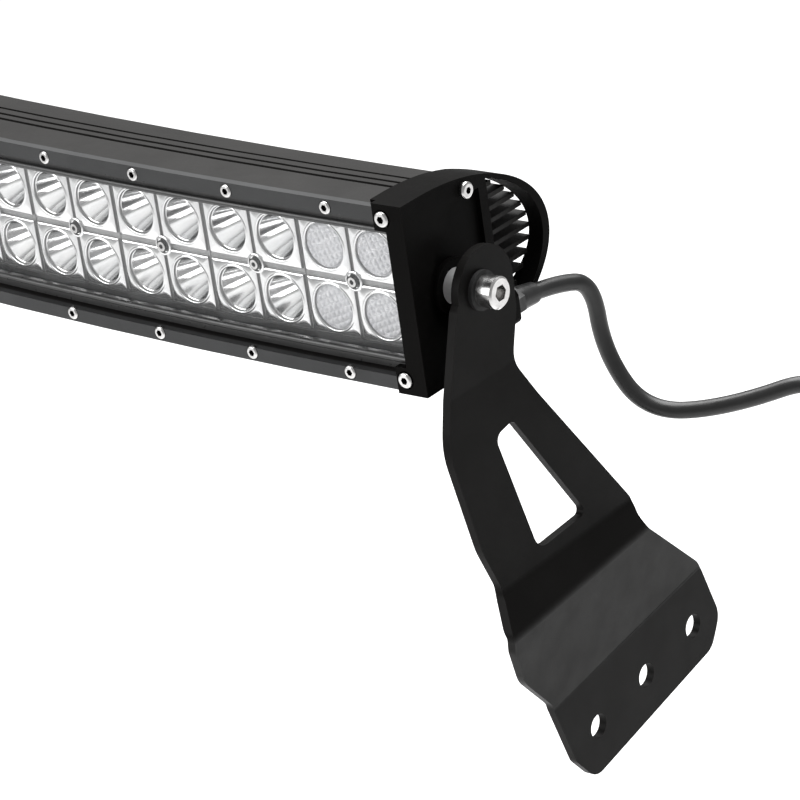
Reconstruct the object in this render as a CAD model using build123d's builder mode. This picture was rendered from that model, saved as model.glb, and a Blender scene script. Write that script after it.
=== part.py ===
"""Curved dual-row LED light bar: finned housing, end caps, two bent plate brackets and a pigtail.

Millimetres. +X is the bar's right end, -Y the lit front, +Z up. The origin is midway between
the middle fixing holes of the two bracket feet. Lengthwise pieces are revolved about the
vertical axis that the front face bends round, so every section stays square to the curve.
"""
import os
from math import cos, degrees, pi, radians, sin, sqrt, tan

from build123d import *

# The bar, seen from above: the front face is an arc of this radius.
FRONT_RADIUS = 2900.0
MODULES = 24
CUP_PITCH = 25.5
ROW_PITCH = 26.0
END_MARGIN = 12.25
HALF_LENGTH = END_MARGIN + MODULES * CUP_PITCH
END_ANGLE = HALF_LENGTH / FRONT_RADIUS

# Section of the housing: depths run back from the front face, heights from mid-height.
HALF_HEIGHT = 38.0
ROUND_START = 12.0
HOUSING_ROUND = 69.0
BODY_BACK = 50.0
BEZEL_THICK = 3.2
LENS_FRONT = 5.9
GASKET_FRONT = 8.4
LENS_SEAT = 8.8
LEDGE_BACK = 9.8
RIM_DEPTH = 10.0
BOARD_DEPTH = 26.2
WALL_DEPTH = 27.8
WALL_BACK = 31.0
DRIVER_BACK = 46.5
CAVITY_HALF = 34.0
DRIVER_CAVITY_HALF = 28.5
SEAT_HALF = 28.2
LENS_HALF = 27.9
LEDGE_HALF = 23.8
GROOVE_DEPTHS = (19.7, 25.0, 31.6)
FIN_PITCH = 5.03
FIN_THICK = 1.8
FIN_COUNT = 11
FIN_ROUND = 70.0
FIN_HALF_HEIGHT = 37.4
SIDE_GROOVE = 1.1

# Bezels and the rubber seals between them and the lens.
BEZEL_LOW = 32.25
SEAL_BACK = 6.4
SEAL_FLOOR = 4.9
SEAL_EDGE = 31.3
SEAL_BEAD_RADIUS = 1.4
SEAL_BEAD = (4.3, 26.8)

# End caps: a sleeve over the housing's end, a side plate and a loop round the fins.
CAP_HALF_HEIGHT = 39.4
CAP_ROUND = 75.4
LOOP_INNER_ROUND = 71.0
SLEEVE_INNER = 38.05
SLEEVE_LENGTH = 17.0
LOOP_WIDTH = 6.5
PLATE_THICK = 5.0
PLATE_BACK = 52.0
GASKET_THICK = 1.0
END_EASE = 0.15
HOUSING_HALF = HALF_LENGTH - PLATE_THICK - GASKET_THICK - END_EASE
EAR_LENGTH = 14.2
WINDOW_END = 8.7
RECESS_DEPTH = 2.0
BOSS_RADIUS = 8.0
BOSS_LENGTH = 7.0

# The pivot of each bracket and the plate it is cut from.
PIVOT = (25.0, -2.5)
BOLT_RADIUS = 4.0
BOLT_HEAD_RADIUS = 6.5
BOLT_HEAD_HEIGHT = 8.0
BOLT_LENGTH = 24.6
BOLT_SOCKET = 3.4
SPACER_RADIUS = 7.2
WASHER_RADIUS = 8.0
WASHER_THICK = 1.6
PIVOT_GAP = 0.05
PIVOT_HOLE_RADIUS = 4.3
BRACKET_TOP = (28.3, -3.4)
BRACKET_TOP_RADIUS = 17.3
PLATE_X = 12.5
BRACKET_THICK = 3.5
BEND_RADIUS = 6.0
FOOT_X = 14.3
FOOT_DEPTH = 94.5
FOOT_HEIGHT = -204.3
FOOT_PITCH = 36.0
FOOT_SLOPE = 9.0
FOOT_HOLE_RADIUS = 5.25

# Screws: head radius, head height, shank radius, shank length, socket radius.
BEZEL_SCREW = (2.75, 1.7, 1.4, 8.0, 1.45)
CORNER_SCREW = (3.3, 2.2, 1.9, 8.0, 1.6)
CAP_SCREW = (3.5, 2.2, 1.9, 16.0, 1.5)
MODULE_SCREW = (2.6, 1.5, 1.4, 20.6, 1.1)
BEZEL_SCREW_HEIGHT = 34.4
BEZEL_BORE = (2.95, 1.1)
CORNER_SCREW_PLACE = (9.9, 33.3)
CORNER_BORE = (3.8, 1.2)
CAP_SCREW_PLACE = (38.4, 31.8)
SCREW_EASE = 0.05

# Reflector modules, boards and optics.
MODULE_WIDTH = 50.4
MODULE_HEIGHT = 50.8
MODULE_SKIN = 1.6
CUP_RIM_RADIUS = 9.5
CUP_RIM_STEP = 1.2
CUP_THROAT_RADIUS = 3.6
CUP_WALL_RADIUS = 10.5
POST_RADIUS = 3.4
BOARDS = 4
EMITTER_SIZE = 3.4
EMITTER_HEIGHT = 0.9

# The driver behind the wall: a flat board on four standoffs.
DRIVER_FRONT = 41.0
DRIVER_SIZE = (240.0, 46.0, 1.6)
STANDOFF_PLACE = (100.0, 17.0)

# Cable outlet on the right cap and the pigtail's route, in the right end's own frame:
# outward, to the rear and up. Each corner of the route is rounded by a tangent arc.
OUTLET_X = 3.4
OUTLET_HEIGHT = -21.0
OUTLET_BACK = 52.0
OUTLET_LENGTH = 18.5
OUTLET_TOP = 8.6
GLAND_END = 58.0
CABLE_RADIUS = 3.5
CABLE_ROUTE = [(4.2, 66.4, -21.8), (5.5, 80.0, -23.1), (11.6, 95.0, -27.3), (12.3, 96.0, -58.5),
               (27.3, 99.0, -83.8), (57.3, 112.0, -82.7), (95.1, 136.0, -70.3), (107.2, 142.0, -114.8),
               (108.6, 143.0, -155.2)]

# Where the bar sits: its mid-front point, found from the foot holes.
BAR_Y = -(FRONT_RADIUS * (1 - cos(END_ANGLE)) + FOOT_X * sin(END_ANGLE) + FOOT_DEPTH * cos(END_ANGLE))
BAR_Z = -FOOT_HEIGHT
BEND_AXIS = Axis((0, BAR_Y + FRONT_RADIUS, 0), (0, 0, 1))


def front_point(along, depth=0.0, height=0.0):
    """Point at an arc distance from mid-bar, a depth behind the front and a height."""
    angle = along / FRONT_RADIUS
    radius = FRONT_RADIUS - depth
    return Vector(radius * sin(angle), BAR_Y + FRONT_RADIUS - radius * cos(angle), BAR_Z + height)


def across(along):
    """Plane across the bar: x runs to the rear, y up, z towards the right end."""
    angle = along / FRONT_RADIUS
    return Plane(front_point(along), x_dir=(-sin(angle), cos(angle), 0), z_dir=(cos(angle), sin(angle), 0))


def facing(along, depth=0.0, height=0.0, aside=0.0):
    """Plane parallel to the front face: x runs to the right, y up, z out of the front."""
    angle = along / FRONT_RADIUS
    tangent = Vector(cos(angle), sin(angle), 0)
    origin = front_point(along, depth, height) + tangent * aside
    return Plane(origin, x_dir=tangent, z_dir=(sin(angle), -cos(angle), 0))


def side(x):
    """Plane parallel to the right cap's outer face, x beyond it: x to the rear, y up."""
    return across(HALF_LENGTH).offset(x)


def right_point(x, depth, height):
    """World point from the right end's own frame: outward, to the rear and up."""
    return side(x).from_local_coords((depth, height))


def both_ends(x, depth, height):
    """Outward planes at one point of the right end and at its mirror image on the left."""
    spot = right_point(x, depth, height)
    out = side(x).z_dir
    return [Plane(spot, z_dir=out), Plane((-spot.X, spot.Y, spot.Z), z_dir=(-out.X, out.Y, 0))]


def band(depth_from, depth_to, low, high, mode=Mode.ADD):
    """Rectangle of a section, given by its depths and heights."""
    with Locations(((depth_from + depth_to) / 2, (low + high) / 2)):
        Rectangle(depth_to - depth_from, high - low, mode=mode)


def d_shape(half_height, back_round, front):
    """Section with a flat top, front and bottom and an elliptical back."""
    with BuildLine() as outline:
        Polyline((ROUND_START, half_height), (front, half_height), (front, -half_height),
                 (ROUND_START, -half_height))
        EllipticalCenterArc((ROUND_START, 0), back_round, half_height, start_angle=-90, arc_size=180)
    make_face(outline.edges())


def bend(half_length):
    """Revolve the pending section, drawn at the left, along the bar to the right."""
    revolve(axis=BEND_AXIS, revolution_arc=degrees(2 * half_length / FRONT_RADIUS))


def button_screw(head_radius, head_height, shank_radius, shank_length, socket_radius):
    """Button head screw along Z with a hex socket, its head's underside at the origin."""
    with BuildPart() as screw:
        Cylinder(head_radius, head_height, align=(Align.CENTER, Align.CENTER, Align.MIN))
        fillet(faces().sort_by(Axis.Z)[-1].edges(), head_height * 0.45)
        Cylinder(shank_radius, shank_length, align=(Align.CENTER, Align.CENTER, Align.MAX))
        with BuildSketch(Plane.XY.offset(head_height)):
            RegularPolygon(socket_radius, 6)
        extrude(amount=-head_height * 0.75, mode=Mode.SUBTRACT)
    return screw


def drill(planes, radius, depth):
    """Blind holes running in from each plane."""
    with Locations(*planes):
        Cylinder(radius, depth, align=(Align.CENTER, Align.CENTER, Align.MAX), mode=Mode.SUBTRACT)


def save(piece, name):
    piece.part.label = name
    export_step(piece.part, f"parts/{name}.step")


def save_copies(shape, planes, name):
    """Write one node holding a copy of a small piece on each plane."""
    with BuildPart() as group:
        with Locations(*planes):
            add(shape.part)
    save(group, name)


os.makedirs("parts", exist_ok=True)

MODULE_PLACES = [(k + 0.5 - MODULES / 2) * 2 * CUP_PITCH for k in range(MODULES)]
CUP_OFFSETS = [(a * CUP_PITCH / 2, b * ROW_PITCH / 2) for a in (-1, 1) for b in (-1, 1)]
CORNER_ALONG = HALF_LENGTH - CORNER_SCREW_PLACE[0]

bezel_holes = [facing(along, BEZEL_THICK, sign * BEZEL_SCREW_HEIGHT)
               for along in MODULE_PLACES for sign in (-1, 1)]
corner_holes = [facing(end * CORNER_ALONG, BEZEL_THICK, sign * CORNER_SCREW_PLACE[1])
                for end in (-1, 1) for sign in (-1, 1)]
cap_holes = [plane for sign in (-1, 1)
             for plane in both_ends(0, CAP_SCREW_PLACE[0], sign * CAP_SCREW_PLACE[1])]
module_holes = [facing(along, WALL_DEPTH) for along in MODULE_PLACES]

# Housing: one finned extrusion, bent to the front radius.
with BuildPart() as housing:
    with BuildSketch(across(-HOUSING_HALF)):
        d_shape(HALF_HEIGHT, HOUSING_ROUND, BEZEL_THICK)
        band(BODY_BACK, BODY_BACK + HOUSING_ROUND, -HALF_HEIGHT, HALF_HEIGHT, mode=Mode.SUBTRACT)
        for k in range(FIN_COUNT):
            level = (k - (FIN_COUNT - 1) / 2) * FIN_PITCH
            tip = ROUND_START + FIN_ROUND * sqrt(1 - ((abs(level) + FIN_THICK / 2) / FIN_HALF_HEIGHT) ** 2)
            band(BODY_BACK - 1, tip, level - FIN_THICK / 2, level + FIN_THICK / 2)
        band(0, SEAL_BACK, -BEZEL_LOW, BEZEL_LOW, mode=Mode.SUBTRACT)
        band(0, LENS_SEAT, -SEAT_HALF, SEAT_HALF, mode=Mode.SUBTRACT)
        band(LENS_SEAT, LEDGE_BACK, -LEDGE_HALF, LEDGE_HALF, mode=Mode.SUBTRACT)
        band(LEDGE_BACK, WALL_DEPTH, -CAVITY_HALF, CAVITY_HALF, mode=Mode.SUBTRACT)
        band(WALL_BACK, DRIVER_BACK, -DRIVER_CAVITY_HALF, DRIVER_CAVITY_HALF, mode=Mode.SUBTRACT)
        for sign in (-1, 1):
            with Locations((CAP_SCREW_PLACE[0], sign * CAP_SCREW_PLACE[1])):
                Circle(CAP_SCREW[2] + SCREW_EASE, mode=Mode.SUBTRACT)
            for depth in GROOVE_DEPTHS:
                skin = sign * HALF_HEIGHT * sqrt(1 - ((depth - ROUND_START) / HOUSING_ROUND) ** 2)
                band(depth - 1, depth + 1, skin - SIDE_GROOVE, skin + SIDE_GROOVE, mode=Mode.SUBTRACT)
    bend(HOUSING_HALF)
    drill(bezel_holes, BEZEL_SCREW[2] + SCREW_EASE, 6.3)
    drill(corner_holes, CORNER_SCREW[2] + SCREW_EASE, 6.3)
    drill(module_holes, MODULE_SCREW[2] + SCREW_EASE, WALL_BACK - WALL_DEPTH + 0.5)
    drill(both_ends(-PLATE_THICK, *PIVOT), BOSS_RADIUS + 1, BOSS_LENGTH + 1)
save(housing, "housing")

# Bezels: flat strips held by the screws
with BuildPart() as bezel_top:
    strip_half = HALF_LENGTH - EAR_LENGTH
    with BuildSketch(across(-strip_half)):
        band(0, BEZEL_THICK, BEZEL_LOW, HALF_HEIGHT)
    bend(strip_half)
    top_holes = [facing(along, 0, BEZEL_SCREW_HEIGHT) for along in MODULE_PLACES]
    drill(top_holes, BEZEL_SCREW[2] + 0.3, BEZEL_THICK)
    drill(top_holes, *BEZEL_BORE)
save(bezel_top, "bezel_top")

with BuildPart() as bezel_bottom:
    mirror(bezel_top.part, about=Plane.XY.offset(BAR_Z))
save(bezel_bottom, "bezel_bottom")

# Seals: a round bead against the lens, and a foot under the channel that parts it from the bezel
BEAD_DEPTH, BEAD_HEIGHT = SEAL_BEAD
with BuildPart() as lens_seal_top:
    seal_half = HALF_LENGTH - WINDOW_END - 0.1
    with BuildSketch(across(-seal_half)):
        with BuildLine():
            bead = ThreePointArc((BEAD_DEPTH, BEAD_HEIGHT - SEAL_BEAD_RADIUS),
                                 (BEAD_DEPTH - SEAL_BEAD_RADIUS, BEAD_HEIGHT),
                                 (BEAD_DEPTH, BEAD_HEIGHT + SEAL_BEAD_RADIUS))
            Polyline(bead @ 1, (SEAL_FLOOR, BEAD_HEIGHT + SEAL_BEAD_RADIUS),
                     (SEAL_FLOOR, SEAL_EDGE), (SEAL_BACK, SEAL_EDGE),
                     (SEAL_BACK, LENS_HALF), (LENS_FRONT, LENS_HALF),
                     (LENS_FRONT, BEAD_HEIGHT - SEAL_BEAD_RADIUS), bead @ 0)
        make_face()
    bend(seal_half)
save(lens_seal_top, "lens_seal_top")

with BuildPart() as lens_seal_bottom:
    mirror(lens_seal_top.part, about=Plane.XY.offset(BAR_Z))
save(lens_seal_bottom, "lens_seal_bottom")

# Lens and the frame gasket behind it
lens_half = HOUSING_HALF - 0.2
with BuildPart() as lens:
    with BuildSketch(across(-lens_half)):
        band(LENS_FRONT, GASKET_FRONT, -LENS_HALF, LENS_HALF)
    bend(lens_half)
save(lens, "lens")

with BuildPart() as lens_gasket:
    with BuildSketch(across(-lens_half)):
        band(GASKET_FRONT, LENS_SEAT, -LENS_HALF, LENS_HALF)
    bend(lens_half)
    opening_half = lens_half - 4
    with BuildSketch(across(-opening_half)):
        band(GASKET_FRONT - 1, LENS_SEAT + 1, -LEDGE_HALF - 0.4, LEDGE_HALF + 0.4)
    revolve(axis=BEND_AXIS, revolution_arc=degrees(2 * opening_half / FRONT_RADIUS), mode=Mode.SUBTRACT)
save(lens_gasket, "lens_gasket")

# One reflector module of two by two cups, rim at the origin, opening towards +Z
MODULE_DEPTH = BOARD_DEPTH - RIM_DEPTH
with BuildPart() as cup:
    with BuildSketch(Plane.XZ):
        with BuildLine():
            Polyline((CUP_RIM_RADIUS - 0.4, -CUP_RIM_STEP), (CUP_RIM_RADIUS, -CUP_RIM_STEP),
                     (CUP_RIM_RADIUS, 1), (0, 1), (0, -MODULE_DEPTH - 1),
                     (CUP_THROAT_RADIUS, -MODULE_DEPTH - 1), (CUP_THROAT_RADIUS, 1.4 - MODULE_DEPTH))
            ThreePointArc((CUP_THROAT_RADIUS, 1.4 - MODULE_DEPTH), (7.3, -8.2),
                          (CUP_RIM_RADIUS - 0.4, -CUP_RIM_STEP))
        make_face()
    revolve(axis=Axis.Z)
with BuildPart() as module_shape:
    Box(MODULE_WIDTH, MODULE_HEIGHT, MODULE_DEPTH, align=(Align.CENTER, Align.CENTER, Align.MAX))
    with BuildSketch(Plane.XY.offset(-MODULE_DEPTH)):
        Rectangle(MODULE_WIDTH - 2 * MODULE_SKIN, MODULE_HEIGHT - 2 * MODULE_SKIN)
    extrude(amount=MODULE_DEPTH - MODULE_SKIN, mode=Mode.SUBTRACT)
    with Locations(*CUP_OFFSETS):
        Cylinder(CUP_WALL_RADIUS, MODULE_DEPTH, align=(Align.CENTER, Align.CENTER, Align.MAX))
    Cylinder(POST_RADIUS, MODULE_DEPTH, align=(Align.CENTER, Align.CENTER, Align.MAX))
    with Locations(*CUP_OFFSETS):
        add(cup.part, mode=Mode.SUBTRACT)
    Cylinder(MODULE_SCREW[2] + 0.2, 3 * MODULE_DEPTH, mode=Mode.SUBTRACT)
for number, along in enumerate(MODULE_PLACES, start=1):
    save_copies(module_shape, [facing(along, RIM_DEPTH)], f"reflector_{number:02d}")

# Flood discs in the cups of the two end modules, emitters under every cup
with BuildPart() as flood_disc:
    Cylinder(CUP_RIM_RADIUS - 0.05, CUP_RIM_STEP - 0.1, align=(Align.CENTER, Align.CENTER, Align.MIN))
end_modules = (MODULE_PLACES[0], MODULE_PLACES[-1])
disc_planes = [facing(along, RIM_DEPTH + CUP_RIM_STEP, up, aside)
               for along in end_modules for aside, up in CUP_OFFSETS]
save_copies(flood_disc, disc_planes, "flood_optics")

with BuildPart() as emitter:
    Box(EMITTER_SIZE, EMITTER_SIZE, EMITTER_HEIGHT, align=(Align.CENTER, Align.CENTER, Align.MIN))
cup_planes = [facing(along, BOARD_DEPTH, up, aside) for along in MODULE_PLACES for aside, up in CUP_OFFSETS]
save_copies(emitter, cup_planes, "led_emitters")

# Emitter boards against the housing's wall, each serving an equal share of the modules
board_half = MODULES / BOARDS * CUP_PITCH - 0.4
for number in range(BOARDS):
    middle = (number + 0.5 - BOARDS / 2) * 2 * MODULES / BOARDS * CUP_PITCH
    with BuildPart() as led_board:
        with BuildSketch(across(middle - board_half)):
            band(BOARD_DEPTH, WALL_DEPTH, -25, 25)
        bend(board_half)
        served = [along for along in MODULE_PLACES if abs(along - middle) < board_half]
        drill([facing(along, BOARD_DEPTH) for along in served], MODULE_SCREW[2] + 0.3, 3)
    save(led_board, f"led_board_{number + 1}")

# Driver: board, parts on its front face and standoffs to the housing's back wall
with BuildPart() as driver_board:
    with Locations(facing(0, DRIVER_FRONT)):
        Box(*DRIVER_SIZE, align=(Align.CENTER, Align.CENTER, Align.MAX))
save(driver_board, "driver_board")

with BuildPart() as driver_parts:
    for x, y, width, height, tall in [(-95, 0, 18, 30, 5), (-60, 8, 22, 16, 6.5), (0, -6, 40, 18, 3),
                                      (55, 8, 22, 16, 6.5), (95, 0, 14, 26, 5)]:
        with Locations(facing(0, DRIVER_FRONT, y, x)):
            Box(width, height, tall, align=(Align.CENTER, Align.CENTER, Align.MIN))
    with Locations(*[facing(0, DRIVER_FRONT, -13, x) for x in (-66, -52, 50, 64)]):
        Cylinder(4, 7, align=(Align.CENTER, Align.CENTER, Align.MIN))
save(driver_parts, "driver_parts")

SAGITTA = STANDOFF_PLACE[0] ** 2 / (2 * FRONT_RADIUS)
STANDOFF_LENGTH = DRIVER_BACK - DRIVER_FRONT - DRIVER_SIZE[2] + SAGITTA - 0.05
with BuildPart() as standoff:
    Cylinder(2.5, STANDOFF_LENGTH, align=(Align.CENTER, Align.CENTER, Align.MAX))
standoff_planes = [facing(0, DRIVER_FRONT + DRIVER_SIZE[2], v * STANDOFF_PLACE[1], h * STANDOFF_PLACE[0])
                   for h in (-1, 1) for v in (-1, 1)]
save_copies(standoff, standoff_planes, "driver_standoffs")


def end_cap():
    """Right end cap, without the cable outlet."""
    with BuildPart() as cap:
        with BuildSketch(side(-SLEEVE_LENGTH)):
            d_shape(CAP_HALF_HEIGHT, CAP_ROUND, 0)
        extrude(amount=SLEEVE_LENGTH)
        with BuildSketch(side(-SLEEVE_LENGTH)):
            d_shape(SLEEVE_INNER, LOOP_INNER_ROUND, BEZEL_THICK)
        extrude(amount=SLEEVE_LENGTH - PLATE_THICK, mode=Mode.SUBTRACT)
        with BuildSketch(side(-PLATE_THICK)):
            d_shape(SLEEVE_INNER, LOOP_INNER_ROUND, BEZEL_THICK)
            band(0, PLATE_BACK, -HALF_HEIGHT - 1, HALF_HEIGHT + 1, mode=Mode.SUBTRACT)
        extrude(amount=PLATE_THICK, mode=Mode.SUBTRACT)
        # the window in the front flange, and the ears beyond it that meet the bezels
        with BuildSketch(facing(HALF_LENGTH, -1)):
            with Locations((-WINDOW_END, 0)):
                Rectangle(SLEEVE_LENGTH, 2 * SEAT_HALF, align=(Align.MAX, Align.CENTER))
            with Locations((-EAR_LENGTH, 0)):
                Rectangle(SLEEVE_LENGTH, 3 * HALF_HEIGHT, align=(Align.MAX, Align.CENTER))
        extrude(amount=-BEZEL_THICK - 1, mode=Mode.SUBTRACT)
        # the loop's slanting inboard edge
        horizontal = Plane(right_point(0, 0, 0), x_dir=side(0).z_dir, z_dir=(0, 0, 1))
        with BuildSketch(horizontal):
            with BuildLine():
                Polyline((-SLEEVE_LENGTH - 1, BODY_BACK), (-SLEEVE_LENGTH, BODY_BACK),
                         (-LOOP_WIDTH, ROUND_START + CAP_ROUND - 3),
                         (-LOOP_WIDTH, ROUND_START + CAP_ROUND + 1),
                         (-SLEEVE_LENGTH - 1, ROUND_START + CAP_ROUND + 1), close=True)
            make_face()
        extrude(amount=CAP_HALF_HEIGHT + 1, both=True, mode=Mode.SUBTRACT)
        # recess round the pivot, left open above and below for the side screws
        with BuildSketch(side(0)):
            with BuildLine():
                Polyline((29, 29.5), (15.5, 12.5), (15.5, -17.5), (26, -28), (47, -28), (47, 29.5),
                         close=True)
            make_face()
            with Locations(BRACKET_TOP):
                Circle(BRACKET_TOP_RADIUS + 1.2)
            with Locations(PIVOT):
                Circle(BOSS_RADIUS + 3, mode=Mode.SUBTRACT)
        extrude(amount=-RECESS_DEPTH, mode=Mode.SUBTRACT)
        with BuildSketch(side(-PLATE_THICK)):
            with Locations(PIVOT):
                Circle(BOSS_RADIUS)
        extrude(amount=-BOSS_LENGTH)
        pivot = Plane(right_point(0, *PIVOT), z_dir=side(0).z_dir)
        drill([pivot], BOLT_RADIUS + SCREW_EASE, PLATE_THICK + BOSS_LENGTH - 1)
        for sign in (-1, 1):
            screw = Plane(right_point(0, CAP_SCREW_PLACE[0], sign * CAP_SCREW_PLACE[1]), z_dir=side(0).z_dir)
            drill([screw], CAP_SCREW[2] + 0.2, PLATE_THICK)
            corner = facing(CORNER_ALONG, 0, sign * CORNER_SCREW_PLACE[1])
            drill([corner.offset(1)], CORNER_SCREW[2] + 0.2, BEZEL_THICK + 2)
            drill([corner.offset(1)], CORNER_BORE[0], CORNER_BORE[1] + 1)
    return cap


plain_cap = end_cap()
with BuildPart() as left_end_cap:
    mirror(plain_cap.part, about=Plane.YZ)
save(left_end_cap, "left_end_cap")

with BuildPart() as right_end_cap:
    add(plain_cap.part)
    # cable outlet: a boss in the gap behind the bracket, bored from the rear
    outlet = facing(HALF_LENGTH, OUTLET_BACK, OUTLET_HEIGHT, OUTLET_X)
    with BuildSketch(outlet):
        with Locations((OUTLET_TOP - OUTLET_X, 0)):
            Rectangle(OUTLET_TOP + RECESS_DEPTH, 14.4, align=(Align.MAX, Align.CENTER))
        fillet(vertices().sort_by(Axis.X)[-2:], 3)
    extrude(amount=OUTLET_LENGTH)
    with BuildSketch(outlet):
        Circle(4.05)
    extrude(amount=12, mode=Mode.SUBTRACT)
    with Locations(Plane(right_point(OUTLET_X, OUTLET_BACK - 9, OUTLET_HEIGHT), z_dir=side(0).z_dir)):
        Cylinder(2.5, 12, align=(Align.CENTER, Align.CENTER, Align.MAX), mode=Mode.SUBTRACT)
save(right_end_cap, "right_end_cap")

# Gaskets between the caps and the housing's ends
with BuildPart() as right_cap_gasket:
    with BuildSketch(side(-PLATE_THICK - GASKET_THICK)):
        d_shape(HALF_HEIGHT - 0.2, HOUSING_ROUND - 0.2, BEZEL_THICK)
        band(BODY_BACK - 0.2, BODY_BACK + HOUSING_ROUND, -HALF_HEIGHT, HALF_HEIGHT, mode=Mode.SUBTRACT)
        band(12, 33.5, -33, 33, mode=Mode.SUBTRACT)
        band(33, DRIVER_BACK, -26.5, 26.5, mode=Mode.SUBTRACT)
        for sign in (-1, 1):
            with Locations((CAP_SCREW_PLACE[0], sign * CAP_SCREW_PLACE[1])):
                Circle(CAP_SCREW[2] + 0.3, mode=Mode.SUBTRACT)
    extrude(amount=GASKET_THICK)
save(right_cap_gasket, "right_cap_gasket")
with BuildPart() as left_cap_gasket:
    mirror(right_cap_gasket.part, about=Plane.YZ)
save(left_cap_gasket, "left_cap_gasket")

# Screws
bezel_seats = [plane.offset(BEZEL_THICK - BEZEL_BORE[1]) for plane in bezel_holes]
corner_seats = [plane.offset(BEZEL_THICK - CORNER_BORE[1]) for plane in corner_holes]
module_seats = [facing(along, RIM_DEPTH) for along in MODULE_PLACES]
save_copies(button_screw(*BEZEL_SCREW), bezel_seats, "bezel_screws")
save_copies(button_screw(*CORNER_SCREW), corner_seats, "corner_screws")
save_copies(button_screw(*CAP_SCREW), cap_holes, "end_cap_screws")
save_copies(button_screw(*MODULE_SCREW), module_seats, "reflector_screws")

# Bracket: bent strip, then cut to its outline as seen from the side
SHEET_FRONT = -40.0
SHEET_REAR = 170.0
# Outer face of the sheet at those two depths, outward and height, one point per bend.
FRONT_BENDS = [(PLATE_X, 40), (PLATE_X, -38), (18.4, -122.4), (29.4, -138.0),
               (FOOT_X, -197.9), (FOOT_X, -270)]
REAR_BENDS = [(PLATE_X, 40), (PLATE_X, -38), (18.4, -122.4), (23.3, -129.3),
              (FOOT_X, -171.1), (FOOT_X, -270)]
# Outline of the plate, depth, height and corner radius, round from the pivot's front side.
TOP_FRONT, TOP_REAR = BRACKET_TOP[0] - BRACKET_TOP_RADIUS, BRACKET_TOP[0] + BRACKET_TOP_RADIUS
OUTLINE = [(TOP_FRONT, BRACKET_TOP[1], 0.5), (8.9, -6, 4), (-8.5, -57, 30), (-1, -102, 30), (6.5, -122, 8),
           (-3, -136, 6), (-1, -144, 12), (8.2, -163, 25), (31, -186, 10), (42, -218, 8), (53, -231, 9),
           (141.5, -214.6, 9), (149.5, -202, 10), (139, -173, 20), (104, -142.3, 20), (91, -131, 8),
           (94.5, -122, 6), (49.5, -56, 30), (38.5, -38, 12), (45, -18, 10), (TOP_REAR, BRACKET_TOP[1], 0.5)]
WINDOW = [(19.5, -62), (31.5, -60), (65, -114.5), (32, -116)]
with BuildPart() as right_bracket:
    for depth, bends in ((SHEET_FRONT, FRONT_BENDS), (SHEET_REAR, REAR_BENDS)):
        with BuildSketch(facing(HALF_LENGTH, depth)):
            with BuildLine():
                FilletPolyline(*bends, radius=BEND_RADIUS)
                offset(amount=BRACKET_THICK, side=Side.RIGHT)
            make_face()
    loft(ruled=True)
    with BuildSketch(side(0)):
        with BuildLine():
            FilletPolyline(*[point[:2] for point in OUTLINE], radius=[point[2] for point in OUTLINE],
                           close=True)
        make_face()
        with Locations(BRACKET_TOP):
            Circle(BRACKET_TOP_RADIUS)
        with Locations(PIVOT):
            Circle(PIVOT_HOLE_RADIUS, mode=Mode.SUBTRACT)
        with BuildLine():
            FilletPolyline(*WINDOW, radius=(4, 3.5, 2.5, 7), close=True)
        make_face(mode=Mode.SUBTRACT)
        with Locations(Location((FOOT_DEPTH, FOOT_HEIGHT), FOOT_SLOPE)):
            with GridLocations(FOOT_PITCH, 1, 3, 1):
                Circle(FOOT_HOLE_RADIUS, mode=Mode.SUBTRACT)
    extrude(amount=60, mode=Mode.INTERSECT)
save(right_bracket, "right_bracket")
with BuildPart() as left_bracket:
    mirror(right_bracket.part, about=Plane.YZ)
save(left_bracket, "left_bracket")

# Pivot hardware at both ends
HEAD_X = PLATE_X + PIVOT_GAP + WASHER_THICK
with BuildPart() as pivot_bolt:
    Cylinder(BOLT_HEAD_RADIUS, BOLT_HEAD_HEIGHT, align=(Align.CENTER, Align.CENTER, Align.MIN))
    chamfer(faces().sort_by(Axis.Z)[-1].edges(), 0.8)
    Cylinder(BOLT_RADIUS, BOLT_LENGTH, align=(Align.CENTER, Align.CENTER, Align.MAX))
    with BuildSketch(Plane.XY.offset(BOLT_HEAD_HEIGHT)):
        RegularPolygon(BOLT_SOCKET, 6)
    extrude(amount=-5, mode=Mode.SUBTRACT)
save_copies(pivot_bolt, both_ends(HEAD_X, *PIVOT), "pivot_bolts")
with BuildPart() as washer:
    with BuildSketch():
        Circle(WASHER_RADIUS)
        Circle(BOLT_RADIUS + 0.2, mode=Mode.SUBTRACT)
    extrude(amount=WASHER_THICK)
save_copies(washer, both_ends(PLATE_X + PIVOT_GAP, *PIVOT), "pivot_washers")
with BuildPart() as spacer:
    with BuildSketch():
        Circle(SPACER_RADIUS)
        Circle(BOLT_RADIUS + 0.2, mode=Mode.SUBTRACT)
    extrude(amount=PLATE_X - BRACKET_THICK - PIVOT_GAP)
save_copies(spacer, both_ends(0, *PIVOT), "pivot_spacers")

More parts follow.
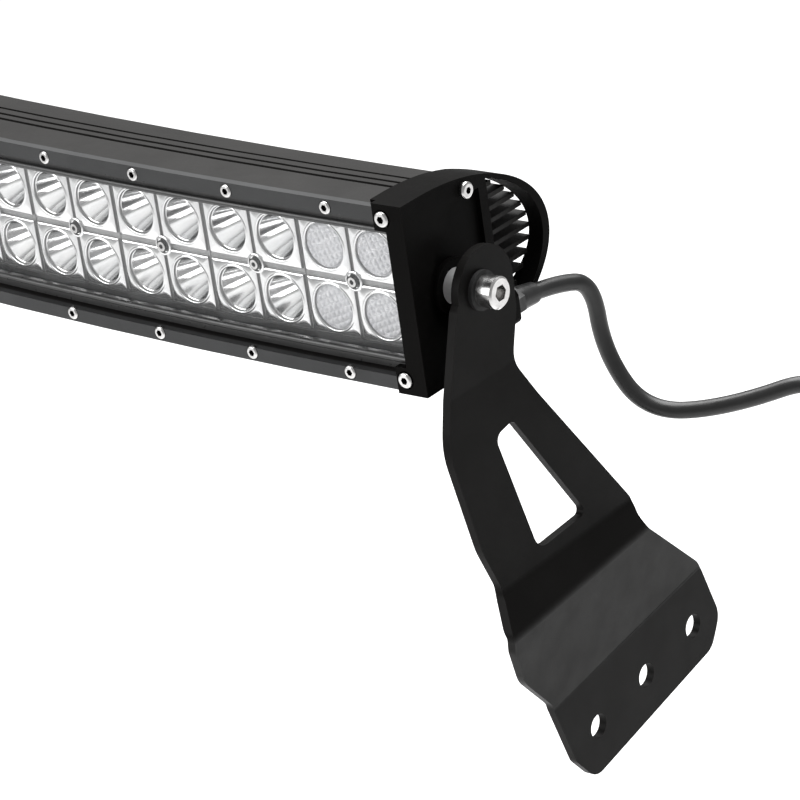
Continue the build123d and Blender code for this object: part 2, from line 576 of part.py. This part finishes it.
# Cable gland: threaded spigot, hex, and a tapered boot that turns towards the cable's first run
gland_front = right_point(OUTLET_X, GLAND_END, OUTLET_HEIGHT)
cable_start = right_point(*CABLE_ROUTE[0])
with BuildPart() as cable_gland:
    with BuildSketch(facing(HALF_LENGTH, OUTLET_BACK, OUTLET_HEIGHT, OUTLET_X)):
        Circle(4.0)
    extrude(amount=6)
    with BuildSketch(facing(HALF_LENGTH, OUTLET_BACK, OUTLET_HEIGHT, OUTLET_X)):
        RegularPolygon(5.9, 6, major_radius=True, rotation=30)
    extrude(amount=-4)
    with BuildSketch(facing(HALF_LENGTH, OUTLET_BACK + 4, OUTLET_HEIGHT, OUTLET_X)):
        Circle(5.1)
    extrude(amount=-(GLAND_END - OUTLET_BACK - 4))
    boot_length = (cable_start - gland_front).length
    with Locations(Plane(gland_front, z_dir=cable_start - gland_front)):
        Sphere(5.1)
        Cone(5.1, CABLE_RADIUS + 0.9, boot_length, align=(Align.CENTER, Align.CENTER, Align.MIN))
save(cable_gland, "cable_gland")

# Pigtail cable
route = [right_point(*point) for point in CABLE_ROUTE]
runs = [(b - a).length for a, b in zip(route, route[1:])]
turns = [radians((b - a).get_angle(c - b)) for a, b, c in zip(route, route[1:], route[2:])]
bend_radii = [0.45 * min(pair) / tan(turn / 2) for pair, turn in zip(zip(runs, runs[1:]), turns)]
print("cable runs", [round(run, 1) for run in runs], "bend radii", [round(r, 1) for r in bend_radii])
with BuildPart() as cable:
    with BuildLine():
        path = FilletPolyline(*route, radius=bend_radii)
    with BuildSketch(Plane(path @ 0, z_dir=path % 0)):
        Circle(CABLE_RADIUS)
    sweep()
print("cable length", round(path.length, 1), "volume over section",
      round(cable.part.volume / (pi * CABLE_RADIUS ** 2), 1))
save(cable, "cable")

# Connector on the pigtail's end: tapered relief, two-way body and its contacts
end_plane = Plane(path @ 1, x_dir=side(0).z_dir.cross(path % 1), z_dir=path % 1)
with BuildPart() as connector_relief:
    with Locations(end_plane):
        Cone(CABLE_RADIUS + 0.8, CABLE_RADIUS + 3, 22, align=(Align.CENTER, Align.CENTER, Align.MIN))
save(connector_relief, "connector_relief")
with BuildPart() as connector_body:
    with BuildSketch(end_plane.offset(22)):
        RectangleRounded(22, 15, 3)
    extrude(amount=24)
    with BuildSketch(end_plane.offset(46)):
        RectangleRounded(18, 11, 2.5)
    extrude(amount=12)
    with BuildSketch(end_plane.offset(58)):
        RectangleRounded(15, 8, 1.5)
    extrude(amount=-9, mode=Mode.SUBTRACT)
save(connector_body, "connector_body")
with BuildPart() as connector_contacts:
    with BuildSketch(end_plane.offset(49)):
        with GridLocations(6.5, 1, 2, 1):
            Circle(1.2)
    extrude(amount=7.5)
save(connector_contacts, "connector_contacts")
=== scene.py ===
"""Curved dual-row LED light bar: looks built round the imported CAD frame. Metres."""
from math import cos, pi, radians, sin, sqrt

import bpy
import bmesh
from mathutils import Matrix, Vector


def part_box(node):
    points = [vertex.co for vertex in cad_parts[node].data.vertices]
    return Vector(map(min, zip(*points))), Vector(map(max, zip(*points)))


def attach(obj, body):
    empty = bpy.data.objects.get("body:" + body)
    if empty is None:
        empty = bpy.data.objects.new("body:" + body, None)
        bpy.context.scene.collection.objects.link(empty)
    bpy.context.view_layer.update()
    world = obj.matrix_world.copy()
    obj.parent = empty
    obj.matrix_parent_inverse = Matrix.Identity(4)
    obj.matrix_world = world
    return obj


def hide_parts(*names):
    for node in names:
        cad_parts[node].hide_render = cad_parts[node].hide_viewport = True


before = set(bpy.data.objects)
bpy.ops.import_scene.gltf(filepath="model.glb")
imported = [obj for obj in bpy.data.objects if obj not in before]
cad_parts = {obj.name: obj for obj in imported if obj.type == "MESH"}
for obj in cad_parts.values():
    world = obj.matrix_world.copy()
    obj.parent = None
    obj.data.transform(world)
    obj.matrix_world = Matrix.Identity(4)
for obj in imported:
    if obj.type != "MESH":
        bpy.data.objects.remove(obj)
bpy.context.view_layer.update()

# ---------------------------------------------------------------- places, from the frame
FRONT_RADIUS = 2.9
MODULES = 24
CUP_PITCH = 0.0255
ROW_PITCH = 0.026
END_MARGIN = 0.01225
HALF_LENGTH = END_MARGIN + MODULES * CUP_PITCH
END_ANGLE = HALF_LENGTH / FRONT_RADIUS
LENS_FRONT = 0.0059
RIM_DEPTH = 0.010

lens_low, lens_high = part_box("lens")
BAR_Y = lens_low.y - LENS_FRONT
BAR_Z = (lens_low.z + lens_high.z) / 2


def front_matrix(along, depth=0.0):
    """Frame on the bar at an arc distance from its middle: x right, y up, z out of the front."""
    angle = along / FRONT_RADIUS
    radius = FRONT_RADIUS - depth
    place = Vector((radius * sin(angle), BAR_Y + FRONT_RADIUS - radius * cos(angle), BAR_Z))
    axes = Matrix(((cos(angle), 0, sin(angle)), (sin(angle), 0, -cos(angle)), (0, 1, 0)))
    return Matrix.Translation(place) @ axes.to_4x4()


def right_point(outward, depth, height):
    """Point in the right end's own frame: outward, to the rear and up."""
    return front_matrix(HALF_LENGTH) @ Vector((outward, height, -depth))


MODULE_PLACES = [(k + 0.5 - MODULES / 2) * 2 * CUP_PITCH for k in range(MODULES)]
CUP_OFFSETS = [(a * CUP_PITCH / 2, b * ROW_PITCH / 2) for a in (-1, 1) for b in (-1, 1)]

# ---------------------------------------------------------------- camera
AZIMUTH = radians(53.76)
ELEVATION = radians(23.45)
ROLL = radians(8.56)
DISTANCE = 1.466
LENS_MM = 174.4
TARGET = right_point(0.0012, -0.0175, -0.0322)

camera = bpy.data.objects.new("camera", bpy.data.cameras.new("camera"))
bpy.context.scene.collection.objects.link(camera)
back = Vector((sin(AZIMUTH) * cos(ELEVATION), -cos(AZIMUTH) * cos(ELEVATION), sin(ELEVATION)))
turn = back.to_track_quat("Z", "Y").to_matrix().to_4x4() @ Matrix.Rotation(-ROLL, 4, "Z")
camera.matrix_world = Matrix.Translation(TARGET + back * DISTANCE) @ turn
camera.data.lens = LENS_MM
camera.data.sensor_width = 36
camera.data.clip_end = 50
bpy.context.scene.camera = camera


# ---------------------------------------------------------------- material helpers
class Shader:
    """One node material, with short calls for the nodes that the finishes below share."""

    def __init__(self, name, **inputs):
        self.material = bpy.data.materials.new(name)
        self.material.use_nodes = True
        self.tree = self.material.node_tree
        self.main = self.tree.nodes["Principled BSDF"]
        for key, value in inputs.items():
            self.main.inputs[key.replace("_", " ")].default_value = value
        self.place = self.node("ShaderNodeTexCoord").outputs["Object"]

    def node(self, kind, **settings):
        made = self.tree.nodes.new(kind)
        for key, value in settings.items():
            if key in made.inputs:
                made.inputs[key].default_value = value
            else:
                setattr(made, key, value)
        return made

    def link(self, output, target):
        self.tree.links.new(output, target)

    def noise(self, scale, detail=4.0, roughness=0.6, distortion=0.0):
        made = self.node("ShaderNodeTexNoise", Scale=scale, Detail=detail, Roughness=roughness, Distortion=distortion)
        self.link(self.place, made.inputs["Vector"])
        return made.outputs["Fac"]

    def ramp(self, source, stops):
        made = self.node("ShaderNodeValToRGB")
        elements = made.color_ramp.elements
        while len(elements) < len(stops):
            elements.new(0.5)
        for element, (position, colour) in zip(elements, stops):
            element.position = position
            element.color = (*colour, 1) if len(colour) == 3 else colour
        self.link(source, made.inputs["Fac"])
        return made.outputs["Color"]

    def spread(self, source, low, high, out_low, out_high):
        made = self.node("ShaderNodeMapRange")
        for key, value in (("From Min", low), ("From Max", high), ("To Min", out_low), ("To Max", out_high)):
            made.inputs[key].default_value = value
        self.link(source, made.inputs["Value"])
        return made.outputs["Result"]

    def bump(self, source, strength, distance, below=None):
        made = self.node("ShaderNodeBump", Strength=strength, Distance=distance)
        self.link(source, made.inputs["Height"])
        if below is not None:
            self.link(below, made.inputs["Normal"])
        return made.outputs["Normal"]

    def mix(self, factor, first, second):
        made = self.node("ShaderNodeMix", data_type="RGBA")
        self.link(factor, made.inputs["Factor"])
        for source, name in ((first, 6), (second, 7)):
            if isinstance(source, tuple):
                made.inputs[name].default_value = (*source, 1)
            else:
                self.link(source, made.inputs[name])
        return made.outputs[2]

    def set(self, name, output):
        self.link(output, self.main.inputs[name])


def grey(level, warm=0.0):
    return (level * (1 + warm), level, level * (1 - warm))


def powder_coat(name, level, warm, gloss_low, gloss_high, grain, specular=0.5):
    """Fine orange-peel powder coat with faint cloudy patches."""
    shader = Shader(name, Specular_IOR_Level=specular)
    patches = shader.noise(22, 3)
    tones = [(0.3, grey(level * 0.82, warm)), (0.7, grey(level * 1.2, warm))]
    shader.set("Base Color", shader.ramp(patches, tones))
    shader.set("Roughness", shader.spread(shader.noise(60, 4), 0.3, 0.7, gloss_low, gloss_high))
    peel = shader.bump(shader.noise(grain, 3, 0.55), 0.35, 0.00012)
    shader.set("Normal", shader.bump(shader.noise(grain * 3.1, 2), 0.18, 0.00005, peel))
    return shader


def finish_material(name, level, roughness, grain, strength, metallic=0.0, warm=0.0, specular=0.5):
    """Plain moulded or turned finish: slight colour clouds, fine grain."""
    shader = Shader(name, Metallic=metallic, Specular_IOR_Level=specular)
    clouds = shader.noise(90, 3)
    tones = [(0.3, grey(level * 0.86, warm)), (0.7, grey(level * 1.12, warm))]
    shader.set("Base Color", shader.ramp(clouds, tones))
    shader.set("Roughness", shader.spread(shader.noise(260, 3), 0.3, 0.7, roughness * 0.8, roughness * 1.2))
    shader.set("Normal", shader.bump(shader.noise(grain, 3), strength, 0.00006))
    return shader


def paint(material, *names):
    """Give CAD nodes a material."""
    for name in names:
        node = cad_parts[name]
        node.data.materials.clear()
        node.data.materials.append(material)


# ---------------------------------------------------------------- cable and its connector
CABLE_DIAMETER = 0.007
# outward, to the rear, up: the corners of the route, as the CAD tube has them
CABLE_ROUTE = [(0.0042, 0.0664, -0.0218), (0.0055, 0.0800, -0.0231), (0.0116, 0.0950, -0.0273),
               (0.0123, 0.0960, -0.0585), (0.0273, 0.0990, -0.0838), (0.0573, 0.1120, -0.0827),
               (0.0951, 0.1360, -0.0703), (0.1072, 0.1420, -0.1148), (0.1086, 0.1430, -0.1552)]


def build_cable():
    """Round tube that follows the route's smooth curve."""
    curve = bpy.data.curves.new("cable_sheath", "CURVE")
    curve.dimensions = "3D"
    spline = curve.splines.new("NURBS")
    spline.points.add(len(CABLE_ROUTE) - 1)
    for point, place in zip(spline.points, CABLE_ROUTE):
        point.co = (*right_point(*place), 1)
    spline.order_u = 3
    spline.use_endpoint_u = True
    spline.resolution_u = 24
    guide = bpy.data.objects.new("cable_guide", curve)
    middle_line = [tuple(vertex.co) for vertex in bpy.data.meshes.new_from_object(guide).vertices]
    curve.bevel_depth = CABLE_DIAMETER / 2
    curve.bevel_resolution = 8
    curve.use_fill_caps = True
    sheath = bpy.data.meshes.new_from_object(guide)
    sheath.shade_smooth()
    piece = bpy.data.objects.new("cable_sheath", sheath)
    bpy.context.scene.collection.objects.link(piece)
    bpy.data.objects.remove(guide)
    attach(piece, "bar")
    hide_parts("cable")
    rubber = finish_material("cable_rubber_look", 0.022, 0.36, 900, 0.12)
    sheath.materials.clear()
    sheath.materials.append(rubber.material)
    return rubber


rubber = build_cable()


# ---------------------------------------------------------------- mesh helpers
def make_piece(name, verts, faces, material, sharp=35, matrix=None, accent=None, accent_faces=()):
    """Smooth shaded piece on the bar; the accent material goes on the faces listed."""
    mesh = bpy.data.meshes.new(name)
    mesh.from_pydata(verts, [], faces)
    for index in accent_faces:
        mesh.polygons[index].material_index = 1
    if matrix is not None:
        mesh.transform(matrix)
    mesh.validate()
    tidy = bmesh.new()
    tidy.from_mesh(mesh)
    bmesh.ops.remove_doubles(tidy, verts=tidy.verts, dist=1e-7)
    bmesh.ops.recalc_face_normals(tidy, faces=tidy.faces)
    tidy.to_mesh(mesh)
    tidy.free()
    mesh.shade_smooth()
    mesh.set_sharp_from_angle(angle=radians(sharp))
    mesh.materials.append(material)
    if accent is not None:
        mesh.materials.append(accent)
    piece = bpy.data.objects.new(name, mesh)
    bpy.context.scene.collection.objects.link(piece)
    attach(piece, "bar")
    return piece


def join_loops(verts, faces, loops, close_last=False):
    """Skin loops of equal point count; each loop is a list of points."""
    count = len(loops[0])
    start = len(verts)
    for loop in loops:
        verts.extend(loop)
    for k in range(len(loops) - 1):
        for i in range(count):
            a, b = start + k * count + i, start + k * count + (i + 1) % count
            faces.append((a, b, b + count, a + count))
    if close_last:
        last = start + (len(loops) - 1) * count
        faces.append(tuple(range(last, last + count)))


# ---------------------------------------------------------------- reflector modules
SEGMENTS = 64
CELL_OUTER_X = 0.0252
CELL_OUTER_Y = 0.0254
CHANNEL_X = 0.0007
CHANNEL_Y = 0.0012
CHANNEL_DEPTH = 0.0011
RIM_RADIUS = 0.0095
THROAT_RADIUS = 0.0036
CUP_DEPTH = 0.0146


def ring(centre, radius, level):
    steps = [2 * pi * (i + 0.5) / SEGMENTS - 3 * pi / 4 for i in range(SEGMENTS)]
    return [(centre[0] + radius * cos(a), centre[1] + radius * sin(a), level) for a in steps]


def rectangle(low, high, level):
    """Points round a rectangle, starting at its low corner, in step with ring()."""
    per_side = SEGMENTS // 4
    corners = [(low[0], low[1]), (high[0], low[1]), (high[0], high[1]), (low[0], high[1])]
    points = []
    for k in range(4):
        a, b = corners[k], corners[(k + 1) % 4]
        for i in range(per_side):
            t = (i + 0.5) / per_side if i else 0.0
            points.append((a[0] + (b[0] - a[0]) * t, a[1] + (b[1] - a[1]) * t, level))
    return points


def cup_profile(radius_top, level_top):
    """Parabola from the rim down to the throat, as (radius, level)."""
    rings = 14
    focus = (radius_top ** 2 - THROAT_RADIUS ** 2) / (CUP_DEPTH + level_top)
    depths = [level_top - (CUP_DEPTH + level_top) * (k / rings) for k in range(rings + 1)]
    return [(sqrt(max(THROAT_RADIUS ** 2 + focus * (depth + CUP_DEPTH), 0)), depth) for depth in depths]


def module_mesh():
    verts, faces, shaded = [], [], []
    for sx in (-1, 1):
        for sy in (-1, 1):
            centre = (sx * CUP_PITCH / 2, sy * ROW_PITCH / 2)
            low = (0 if sx > 0 else -CELL_OUTER_X, 0 if sy > 0 else -CELL_OUTER_Y)
            high = (CELL_OUTER_X if sx > 0 else 0, CELL_OUTER_Y if sy > 0 else 0)

            def inset(x, y):
                return (low[0] + x, low[1] + y), (high[0] - x, high[1] - y)

            loops = [rectangle(*inset(0, 0), -CHANNEL_DEPTH),
                     rectangle(*inset(CHANNEL_X, CHANNEL_Y), -CHANNEL_DEPTH),
                     rectangle(*inset(CHANNEL_X + 0.0002, CHANNEL_Y + 0.0002), -0.0002),
                     rectangle(*inset(CHANNEL_X + 0.0005, CHANNEL_Y + 0.0005), 0.0),
                     ring(centre, 0.0107, 0.0), ring(centre, 0.0104, 0.00022), ring(centre, 0.0100, 0.0003),
                     ring(centre, 0.0097, 0.00018), ring(centre, RIM_RADIUS, -0.0001),
                     ring(centre, RIM_RADIUS - 0.0001, -0.0010)]
            for radius, level in cup_profile(RIM_RADIUS - 0.0004, -0.0012):
                loops.append(ring(centre, radius, level))
            first = len(faces)
            join_loops(verts, faces, loops, close_last=True)
            # the channel's floor and wall, and the step just inside the rim
            for band in (0, 1, 8):
                shaded.extend(range(first + band * SEGMENTS, first + (band + 1) * SEGMENTS))
    collar = [(0.0044, -CHANNEL_DEPTH), (0.0042, 0.0002), (0.0039, 0.0004), (0.0034, 0.0004), (0.0032, 0.0),
              (0.0031, -0.0006), (0.0010, -0.0006)]
    join_loops(verts, faces, [ring((0, 0), radius, level) for radius, level in collar], close_last=True)
    return verts, faces, shaded


chrome = Shader("reflector_metal", Metallic=1.0)
chrome.set("Base Color", chrome.ramp(chrome.noise(70, 3), [(0.3, (0.80, 0.805, 0.81)), (0.7, (0.88, 0.88, 0.875))]))
chrome.set("Roughness", chrome.spread(chrome.noise(300, 3), 0.3, 0.7, 0.07, 0.14))
chrome.set("Normal", chrome.bump(chrome.noise(420, 3), 0.10, 0.00006))

seam = finish_material("reflector_seam_look", 0.34, 0.4, 700, 0.1, metallic=0.7)
module_verts, module_faces, seam_faces = module_mesh()
for number, along in enumerate(MODULE_PLACES, start=1):
    module = make_piece(f"reflector_module_{number:02d}", module_verts, module_faces, chrome.material,
                        matrix=front_matrix(along, RIM_DEPTH), accent=seam.material, accent_faces=seam_faces)
    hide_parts(f"reflector_{number:02d}")

# ---------------------------------------------------------------- flood optics
DISC_RADIUS = 0.0094
DISC_RINGS = 26
DISC_STEPS = 96
WAFFLE = 0.0027
WAFFLE_HEIGHT = 0.0008
WAFFLE_TURN = radians(24)


def disc_mesh(centre, verts, faces):
    """Clear optic whose face is a grid of small pillows, with a plain rim."""
    loops = []
    for k in range(1, DISC_RINGS + 1):
        radius = DISC_RADIUS * k / DISC_RINGS
        loop = []
        for i in range(DISC_STEPS):
            a = 2 * pi * i / DISC_STEPS
            x, y = radius * cos(a), radius * sin(a)
            u = x * cos(WAFFLE_TURN) + y * sin(WAFFLE_TURN)
            v = -x * sin(WAFFLE_TURN) + y * cos(WAFFLE_TURN)
            pillow = abs(cos(pi * u / WAFFLE)) ** 0.5 * abs(cos(pi * v / WAFFLE)) ** 0.5
            level = WAFFLE_HEIGHT * pillow if k < DISC_RINGS - 1 else 0.0001
            loop.append((centre[0] + x, centre[1] + y, -0.0009 + level))
        loops.append(loop)
    loops.append([(x, y, -0.00119) for x, y, z in loops[-1]])
    join_loops(verts, faces, loops)
    faces.append(tuple(range(len(verts) - DISC_STEPS * len(loops), len(verts) - DISC_STEPS * (len(loops) - 1))))


optic = Shader("flood_optic_look", Roughness=0.16, Alpha=0.8, Specular_IOR_Level=0.6)
optic.set("Base Color", optic.ramp(optic.noise(500, 2), [(0.3, (0.74, 0.75, 0.78)), (0.7, (0.90, 0.90, 0.92))]))
optic_verts, optic_faces = [], []
for along in (MODULE_PLACES[0], MODULE_PLACES[-1]):
    verts, faces = [], []
    for offset in CUP_OFFSETS:
        disc_mesh(offset, verts, faces)
    place = front_matrix(along, RIM_DEPTH)
    base = len(optic_verts)
    optic_verts.extend(place @ Vector(point) for point in verts)
    optic_faces.extend(tuple(i + base for i in face) for face in faces)
optics = make_piece("flood_waffle_discs", optic_verts, optic_faces, optic.material, sharp=30)
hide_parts("flood_optics")

# ---------------------------------------------------------------- finishes on the CAD nodes
housing_coat = powder_coat("housing_powder_coat", 0.016, 0.05, 0.5, 0.62, 1500, specular=0.2)
bezel_coat = powder_coat("bezel_powder_coat", 0.044, -0.02, 0.5, 0.6, 1500, specular=0.3)
cap_coat = powder_coat("cap_powder_coat", 0.0038, 0.06, 0.4, 0.55, 1300, specular=0.03)
bracket_coat = powder_coat("bracket_powder_coat", 0.0058, 0.06, 0.38, 0.48, 1700, specular=0.07)
paint(housing_coat.material, "housing")
paint(bezel_coat.material, "bezel_top", "bezel_bottom")
paint(cap_coat.material, "right_end_cap", "left_end_cap")
paint(bracket_coat.material, "right_bracket", "left_bracket")

seal = finish_material("seal_rubber_look", 0.03, 0.32, 1500, 0.1, specular=0.6)
paint(seal.material, "lens_seal_top", "lens_seal_bottom")

# cut edges catch a thin line of light
for name in ("right_end_cap", "left_end_cap", "right_bracket", "left_bracket", "bezel_top", "bezel_bottom"):
    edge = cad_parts[name].modifiers.new("edge", "BEVEL")
    edge.width = 0.0004
    edge.segments = 2
    edge.limit_method = "ANGLE"
    edge.angle_limit = radians(40)
    edge.harden_normals = True

clear = Shader("lens_clear_look", Roughness=0.04, Alpha=0.05, Specular_IOR_Level=0.5)
clear.set("Base Color", clear.ramp(clear.noise(40, 2), [(0.3, (0.93, 0.95, 0.96)), (0.7, (0.98, 0.99, 1.0))]))
paint(clear.material, "lens")

steel = Shader("stainless_look", Metallic=1.0)
# painted shade: an ambient occlusion mask blends the steel's base colour to near black inside hex sockets and other
# recesses
recess_occlusion = steel.node("ShaderNodeAmbientOcclusion", Distance=0.003, samples=8)
painted_recess_shade = steel.ramp(recess_occlusion.outputs["AO"], [(0.35, (0, 0, 0)), (0.75, (1, 1, 1))])
metal = steel.ramp(steel.noise(300, 4), [(0.3, grey(0.62, 0.01)), (0.7, grey(0.82, 0.01))])
steel.set("Base Color", steel.mix(painted_recess_shade, (0.012, 0.012, 0.012), metal))
steel.set("Roughness", steel.spread(steel.noise(250, 3), 0.3, 0.7, 0.16, 0.28))
steel.set("Normal", steel.bump(steel.noise(900, 2), 0.05, 0.00003))
paint(steel.material, "bezel_screws", "corner_screws", "end_cap_screws", "reflector_screws", "pivot_bolts")

gasket = finish_material("gasket_rubber_look", 0.012, 0.7, 1800, 0.2)
paint(gasket.material, "lens_gasket", "right_cap_gasket", "left_cap_gasket", "pivot_washers")
nylon = finish_material("moulded_nylon_look", 0.020, 0.42, 1400, 0.2)
paint(nylon.material, "cable_gland", "connector_body", "driver_parts")
paint(rubber.material, "connector_relief")
turned = finish_material("turned_spacer_look", 0.48, 0.42, 1200, 0.1, metallic=0.35)
paint(turned.material, "pivot_spacers")
brass = finish_material("brass_look", 0.55, 0.3, 1500, 0.1, metallic=1.0, warm=0.3)
paint(brass.material, "connector_contacts", "driver_standoffs")
mask_white = finish_material("board_white_look", 0.75, 0.5, 800, 0.1)
paint(mask_white.material, "led_board_1", "led_board_2", "led_board_3", "led_board_4")
mask_green = Shader("board_green_look", Roughness=0.4)
mask_tones = [(0.3, (0.01, 0.08, 0.03)), (0.7, (0.02, 0.13, 0.05))]
mask_green.set("Base Color", mask_green.ramp(mask_green.noise(120, 3), mask_tones))
paint(mask_green.material, "driver_board")
phosphor = Shader("phosphor_look", Roughness=0.5)
phosphor_tones = [(0.3, (0.72, 0.6, 0.14)), (0.7, (0.85, 0.74, 0.25))]
phosphor.set("Base Color", phosphor.ramp(phosphor.noise(900, 3), phosphor_tones))
paint(phosphor.material, "led_emitters")

# ---------------------------------------------------------------- stage and light
FLOOR_Z = -0.75
floor_mesh = bpy.data.meshes.new("floor")
floor_corners = [(-12, -12, FLOOR_Z), (12, -12, FLOOR_Z), (12, 12, FLOOR_Z), (-12, 12, FLOOR_Z)]
floor_mesh.from_pydata(floor_corners, [], [(0, 1, 2, 3)])
floor = bpy.data.objects.new("floor", floor_mesh)
bpy.context.scene.collection.objects.link(floor)
floor_look = Shader("floor_look", Roughness=0.9)
floor_look.set("Base Color", floor_look.ramp(floor_look.noise(2, 2), [(0.2, grey(0.93)), (0.8, grey(0.96))]))
floor_mesh.materials.append(floor_look.material)


def softbox(name, place, towards, size, power):
    light = bpy.data.lights.new(name, "AREA")
    light.shape = "RECTANGLE"
    light.size, light.size_y = size
    light.energy = power
    lamp = bpy.data.objects.new(name, light)
    bpy.context.scene.collection.objects.link(lamp)
    aim = (Vector(towards) - Vector(place)).to_track_quat("-Z", "Y")
    lamp.matrix_world = Matrix.Translation(place) @ aim.to_matrix().to_4x4()


MIDDLE = right_point(0, 0, 0)
softbox("top_softbox", MIDDLE + Vector((-0.9, 1.2, 2.4)), MIDDLE + Vector((-0.9, 1.2, 0)), (3.0, 3.0), 190)
softbox("front_softbox", MIDDLE + Vector((-1.2, -2.2, 0.9)), MIDDLE, (1.8, 1.8), 40)

world = bpy.data.worlds.new("studio")
bpy.context.scene.world = world
world.use_nodes = True
world.node_tree.nodes["Background"].inputs["Color"].default_value = (1, 1, 1, 1)
world.node_tree.nodes["Background"].inputs["Strength"].default_value = 0.35
bpy.context.scene.view_settings.view_transform = "Standard"
